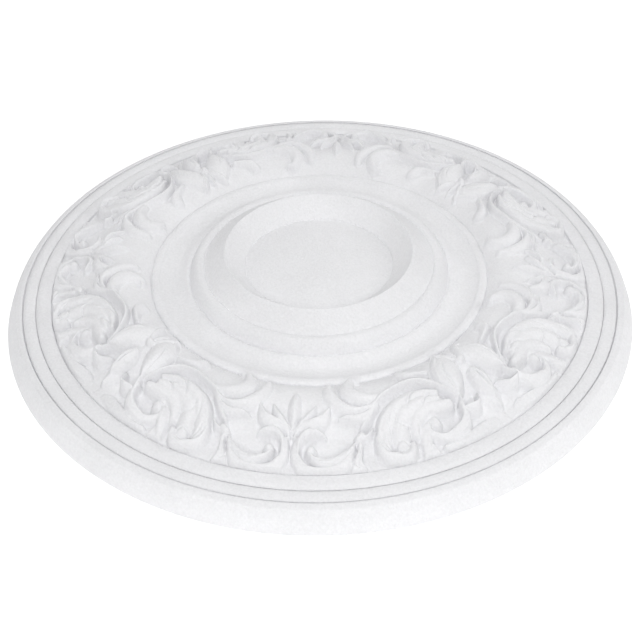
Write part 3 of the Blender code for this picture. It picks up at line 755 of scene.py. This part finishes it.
def turning_tree():
    """Turn a profile of points round the Z axis: a grid whose rows take the profile's places."""
    tree, given, result = new_tree(
        "turned_body", [("Steps", "NodeSocketInt"), ("Material", "NodeSocketMaterial")])
    nodes, links = tree.nodes, tree.links
    size = nodes.new("GeometryNodeAttributeDomainSize")
    links.new(given.outputs["Geometry"], size.inputs[0])
    count = size.outputs["Point Count"]
    grid = nodes.new("GeometryNodeMeshGrid")
    grid.inputs["Size X"].default_value = 1.0
    grid.inputs["Size Y"].default_value = 1.0
    links.new(maths(tree, "ADD", given.outputs["Steps"], 1), grid.inputs["Vertices X"])
    links.new(count, grid.inputs["Vertices Y"])
    place = nodes.new("ShaderNodeSeparateXYZ")
    links.new(nodes.new("GeometryNodeInputPosition").outputs[0], place.inputs[0])
    angle = maths(tree, "MULTIPLY", maths(tree, "ADD", place.outputs["X"], 0.5), 2 * math.pi)
    share = maths(tree, "ADD", place.outputs["Y"], 0.5)
    row = maths(tree, "ROUND", maths(tree, "MULTIPLY", share, maths(tree, "SUBTRACT", count, 1)))
    sample = nodes.new("GeometryNodeSampleIndex")
    sample.data_type = "FLOAT_VECTOR"
    sample.domain = "POINT"
    links.new(given.outputs["Geometry"], sample.inputs["Geometry"])
    links.new(nodes.new("GeometryNodeInputPosition").outputs[0], sample.inputs["Value"])
    links.new(row, sample.inputs["Index"])
    profile = nodes.new("ShaderNodeSeparateXYZ")
    links.new(sample.outputs[0], profile.inputs[0])
    turned = nodes.new("ShaderNodeCombineXYZ")
    for axis, function in (("X", "COSINE"), ("Y", "SINE")):
        reach = maths(tree, "MULTIPLY", profile.outputs["X"], maths(tree, function, angle))
        links.new(reach, turned.inputs[axis])
    links.new(profile.outputs["Z"], turned.inputs["Z"])
    move = nodes.new("GeometryNodeSetPosition")
    links.new(grid.outputs["Mesh"], move.inputs["Geometry"])
    links.new(turned.outputs[0], move.inputs["Position"])
    merge = nodes.new("GeometryNodeMergeByDistance")
    merge.inputs["Distance"].default_value = MERGE_DISTANCE
    links.new(move.outputs[0], merge.inputs["Geometry"])
    return finish_tree(tree, merge.outputs[0], given, result)


def repeating_tree():
    """Mirror a half repeat about its palmette and turn the pair to its place round the rose."""
    tree, given, result = new_tree(
        "frieze_repeat", [("Turn", "NodeSocketFloat"), ("Material", "NodeSocketMaterial")])
    nodes, links = tree.nodes, tree.links
    mirror = nodes.new("GeometryNodeTransform")
    mirror.inputs["Scale"].default_value = (-1, 1, 1)
    links.new(given.outputs["Geometry"], mirror.inputs["Geometry"])
    flip = nodes.new("GeometryNodeFlipFaces")
    links.new(mirror.outputs[0], flip.inputs[0])
    join = nodes.new("GeometryNodeJoinGeometry")
    links.new(given.outputs["Geometry"], join.inputs[0])
    links.new(flip.outputs[0], join.inputs[0])
    merge = nodes.new("GeometryNodeMergeByDistance")
    merge.inputs["Distance"].default_value = MERGE_DISTANCE
    links.new(join.outputs[0], merge.inputs["Geometry"])
    direction = nodes.new("ShaderNodeCombineXYZ")
    links.new(given.outputs["Turn"], direction.inputs["Z"])
    turn = nodes.new("GeometryNodeTransform")
    links.new(merge.outputs[0], turn.inputs["Geometry"])
    links.new(direction.outputs[0], turn.inputs["Rotation"])
    return finish_tree(tree, turn.outputs[0], given, result)


def piece_from_tree(name, mesh, tree, values, smooth_above):
    """Run a tree on a mesh and keep its result as one plain piece, smooth above a height."""
    source = bpy.data.objects.new(name, mesh)
    bpy.context.scene.collection.objects.link(source)
    modifier = source.modifiers.new("shape", "NODES")
    modifier.node_group = tree
    for item in tree.interface.items_tree:
        if item.in_out == "INPUT" and item.name in values:
            modifier[item.identifier] = values[item.name]
    graph = bpy.context.evaluated_depsgraph_get()
    result = bpy.data.meshes.new_from_object(source.evaluated_get(graph))
    bpy.data.objects.remove(source)
    bpy.data.meshes.remove(mesh)
    shell = bmesh.new()
    shell.from_mesh(result)
    bmesh.ops.recalc_face_normals(shell, faces=shell.faces)
    for face in shell.faces:
        face.smooth = min(vert.co.z for vert in face.verts) > smooth_above
    shell.to_mesh(result)
    shell.free()
    result.name = name
    piece = bpy.data.objects.new(name, result)
    bpy.context.scene.collection.objects.link(piece)
    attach(piece, BODY)
    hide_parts(NODE)
    return piece


def grain_group():
    """The fine pebbled grain and faint unevenness of sprayed primer."""
    name = "moulded_grain"
    if name in bpy.data.node_groups:
        return bpy.data.node_groups[name]
    tree = bpy.data.node_groups.new(name, "ShaderNodeTree")
    tree.interface.new_socket("Grain Size", in_out="INPUT", socket_type="NodeSocketFloat")
    tree.interface.new_socket("Height", in_out="OUTPUT", socket_type="NodeSocketFloat")
    tree.interface.new_socket("Tone", in_out="OUTPUT", socket_type="NodeSocketFloat")
    nodes, links = tree.nodes, tree.links
    given = nodes.new("NodeGroupInput")
    result = nodes.new("NodeGroupOutput")
    place = nodes.new("ShaderNodeTexCoord")
    scale = maths(tree, "DIVIDE", 1.0, given.outputs["Grain Size"])
    pebbles = nodes.new("ShaderNodeTexNoise")
    pebbles.inputs["Detail"].default_value = PEBBLE_DETAIL
    pebbles.inputs["Roughness"].default_value = PEBBLE_ROUGHNESS
    links.new(place.outputs["Object"], pebbles.inputs["Vector"])
    links.new(scale, pebbles.inputs["Scale"])
    clouds = nodes.new("ShaderNodeTexNoise")
    clouds.inputs["Detail"].default_value = CLOUD_DETAIL
    links.new(place.outputs["Object"], clouds.inputs["Vector"])
    links.new(maths(tree, "DIVIDE", scale, PEBBLES_PER_CLOUD), clouds.inputs["Scale"])
    links.new(pebbles.outputs[0], result.inputs["Height"])
    both = maths(tree, "ADD", maths(tree, "MULTIPLY", pebbles.outputs[0], PEBBLE_SHARE),
                 maths(tree, "MULTIPLY", clouds.outputs[0], CLOUD_SHARE))
    links.new(both, result.inputs["Tone"])
    return tree


def matt_primer(finish):
    """Matt off-white primer over a fine-grained moulding."""
    name = "matt_primer"
    if name in bpy.data.materials:
        return bpy.data.materials[name]
    material = bpy.data.materials.new(name)
    material.use_nodes = True
    tree = material.node_tree
    nodes, links = tree.nodes, tree.links
    shader = nodes["Principled BSDF"]
    shader.inputs["Roughness"].default_value = finish.roughness
    shader.inputs["Specular IOR Level"].default_value = PRIMER_SPECULAR
    grain = nodes.new("ShaderNodeGroup")
    grain.node_tree = grain_group()
    grain.inputs["Grain Size"].default_value = finish.grain_size
    tone = nodes.new("ShaderNodeMix")
    tone.data_type = "RGBA"
    for end, factor in (("A", DARK_TONE), ("B", PALE_TONE)):
        shade = [min(channel * factor, 1.0) for channel in finish.paint[:3]]
        tone.inputs[end].default_value = shade + [1.0]
    links.new(grain.outputs["Tone"], tone.inputs["Factor"])
    links.new(tone.outputs["Result"], shader.inputs["Base Color"])
    bump = nodes.new("ShaderNodeBump")
    bump.inputs["Strength"].default_value = 1.0
    bump.inputs["Distance"].default_value = finish.grain_depth
    links.new(grain.outputs["Height"], bump.inputs["Height"])
    links.new(bump.outputs["Normal"], shader.inputs["Normal"])
    return material


class ROSE_OT_turn_body(bpy.types.Operator):
    """Turn the rim mouldings, ring, cove, boss and dish"""

    bl_idname = "rose.turn_body"
    bl_label = "Turn the Body"

    def execute(self, context):
        sizes = context.scene.rose_mouldings
        outline = turned_profile(sizes)
        mesh = bpy.data.meshes.new("profile")
        mesh.from_pydata([(radius, 0, height) for radius, height in outline], [], [])
        values = {"Steps": sizes.steps, "Material": matt_primer(context.scene.rose_finish)}
        body = piece_from_tree("rose_turned_body", mesh, turning_tree(), values, SMOOTH_EVERYWHERE)
        body.data.set_sharp_from_angle(angle=SHARP_ANGLE)
        return {"FINISHED"}


class ROSE_OT_carve_frieze(bpy.types.Operator):
    """Carve the palmettes, scrolls, shells, leaves and pendants of the frieze"""

    bl_idname = "rose.carve_frieze"
    bl_label = "Carve the Frieze"

    def execute(self, context):
        scene = context.scene
        half = half_repeat_block(scene.rose_mouldings, scene.rose_carving)
        tree = repeating_tree()
        skirt_top = SKIRT_HEIGHT * SKIRT_MARGIN
        for repeat in range(PALMETTES):
            values = {"Turn": 2 * math.pi * repeat / PALMETTES,
                      "Material": matt_primer(scene.rose_finish)}
            piece_from_tree(f"rose_frieze_{repeat + 1}", half.copy(), tree, values, skirt_top)
        bpy.data.meshes.remove(half)
        return {"FINISHED"}


class ROSE_OT_set_stage(bpy.types.Operator):
    """Lay a pale floor, set soft lights and aim the camera"""

    bl_idname = "rose.set_stage"
    bl_label = "Set the Stage"

    def execute(self, context):
        stage = context.scene.rose_stage
        bpy.ops.mesh.primitive_plane_add(size=FLOOR_SIZE, location=(0, 0, FLOOR_HEIGHT))
        floor = context.object
        floor.name = "floor"
        pale = bpy.data.materials.new("pale_floor")
        pale.use_nodes = True
        shader = pale.node_tree.nodes["Principled BSDF"]
        shader.inputs["Base Color"].default_value = stage.floor_colour
        shader.inputs["Roughness"].default_value = FLOOR_ROUGHNESS
        shader.inputs["Specular IOR Level"].default_value = 0.0
        shader.inputs["Emission Color"].default_value = stage.floor_colour
        shader.inputs["Emission Strength"].default_value = stage.floor_glow
        floor.data.materials.append(pale)
        world = bpy.data.worlds.new("studio")
        world.use_nodes = True
        sky = world.node_tree.nodes["Background"]
        sky.inputs["Color"].default_value = SKY_COLOUR
        sky.inputs["Strength"].default_value = stage.sky_strength
        context.scene.world = world
        context.scene.view_settings.view_transform = "Standard"
        add_lights(stage)
        add_camera(stage)
        return {"FINISHED"}


def photo_direction(stage, elevation, turn):
    """Unit direction from the rose towards a place round it, from the front palmette's axis."""
    across = stage.camera_turn + turn - math.pi / 2
    flat = math.cos(elevation)
    return Vector((flat * math.cos(across), flat * math.sin(across), math.sin(elevation)))


def add_lights(stage):
    """Broad soft lights round the rose, brightest on the camera's side."""
    for name, elevation, turn, strength in LIGHTS:
        data = bpy.data.lights.new(name, "AREA")
        data.shape = "DISK"
        data.size = LIGHT_WIDTH * OUTER_RADIUS
        data.energy = stage.key_power * strength
        light = bpy.data.objects.new(name, data)
        away = photo_direction(stage, math.radians(elevation), math.radians(turn))
        light.location = away * LIGHT_DISTANCE * OUTER_RADIUS
        light.rotation_euler = away.to_track_quat("Z", "Y").to_euler()
        bpy.context.scene.collection.objects.link(light)


def add_camera(stage):
    """Aim the camera as the picture was taken."""
    data = bpy.data.cameras.new("camera")
    data.sensor_width = SENSOR_WIDTH
    data.lens = stage.focal_pixels * SENSOR_WIDTH / PHOTO_PIXELS
    data.clip_start = CAMERA_NEAR
    camera = bpy.data.objects.new("camera", data)
    away = photo_direction(stage, stage.camera_elevation, 0.0)
    facing = away.to_track_quat("Z", "Y").to_matrix().to_4x4()
    aim = Matrix.Rotation(CAMERA_PITCH, 4, "X") @ Matrix.Rotation(-CAMERA_ROLL, 4, "Z")
    camera.matrix_world = Matrix.Translation(away * stage.camera_distance) @ facing @ aim
    bpy.context.scene.collection.objects.link(camera)
    bpy.context.scene.camera = camera


class ROSE_PT_panel(bpy.types.Panel):
    """Sidebar panel of the rose"""

    bl_label = "Ceiling Rose"
    bl_idname = "ROSE_PT_panel"
    bl_space_type = "VIEW_3D"
    bl_region_type = "UI"
    bl_category = "Rose"

    def draw(self, context):
        layout = self.layout
        for operator in OPERATORS:
            layout.operator(operator.bl_idname)
        for label, owner in GROUPS.items():
            box = layout.box()
            settings = getattr(context.scene, label)
            for name in owner.__annotations__:
                box.prop(settings, name)


OPERATORS = (ROSE_OT_turn_body, ROSE_OT_carve_frieze, ROSE_OT_set_stage)
GROUPS = {
    "rose_mouldings": RoseMouldings,
    "rose_carving": RoseCarving,
    "rose_finish": RoseFinish,
    "rose_stage": RoseStage,
}


def register():
    """Register the groups of settings, the operators and the panel."""
    for label, owner in GROUPS.items():
        bpy.utils.register_class(owner)
        setattr(bpy.types.Scene, label, PointerProperty(type=owner))
    for owner in OPERATORS + (ROSE_PT_panel,):
        bpy.utils.register_class(owner)


def unregister():
    """Take everything back out again."""
    for owner in reversed(OPERATORS + (ROSE_PT_panel,)):
        bpy.utils.unregister_class(owner)
    for label, owner in GROUPS.items():
        delattr(bpy.types.Scene, label)
        bpy.utils.unregister_class(owner)


def main():
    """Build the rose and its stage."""
    register()
    bpy.ops.rose.turn_body()
    bpy.ops.rose.carve_frieze()
    bpy.ops.rose.set_stage()


if __name__ == "__main__":
    main()
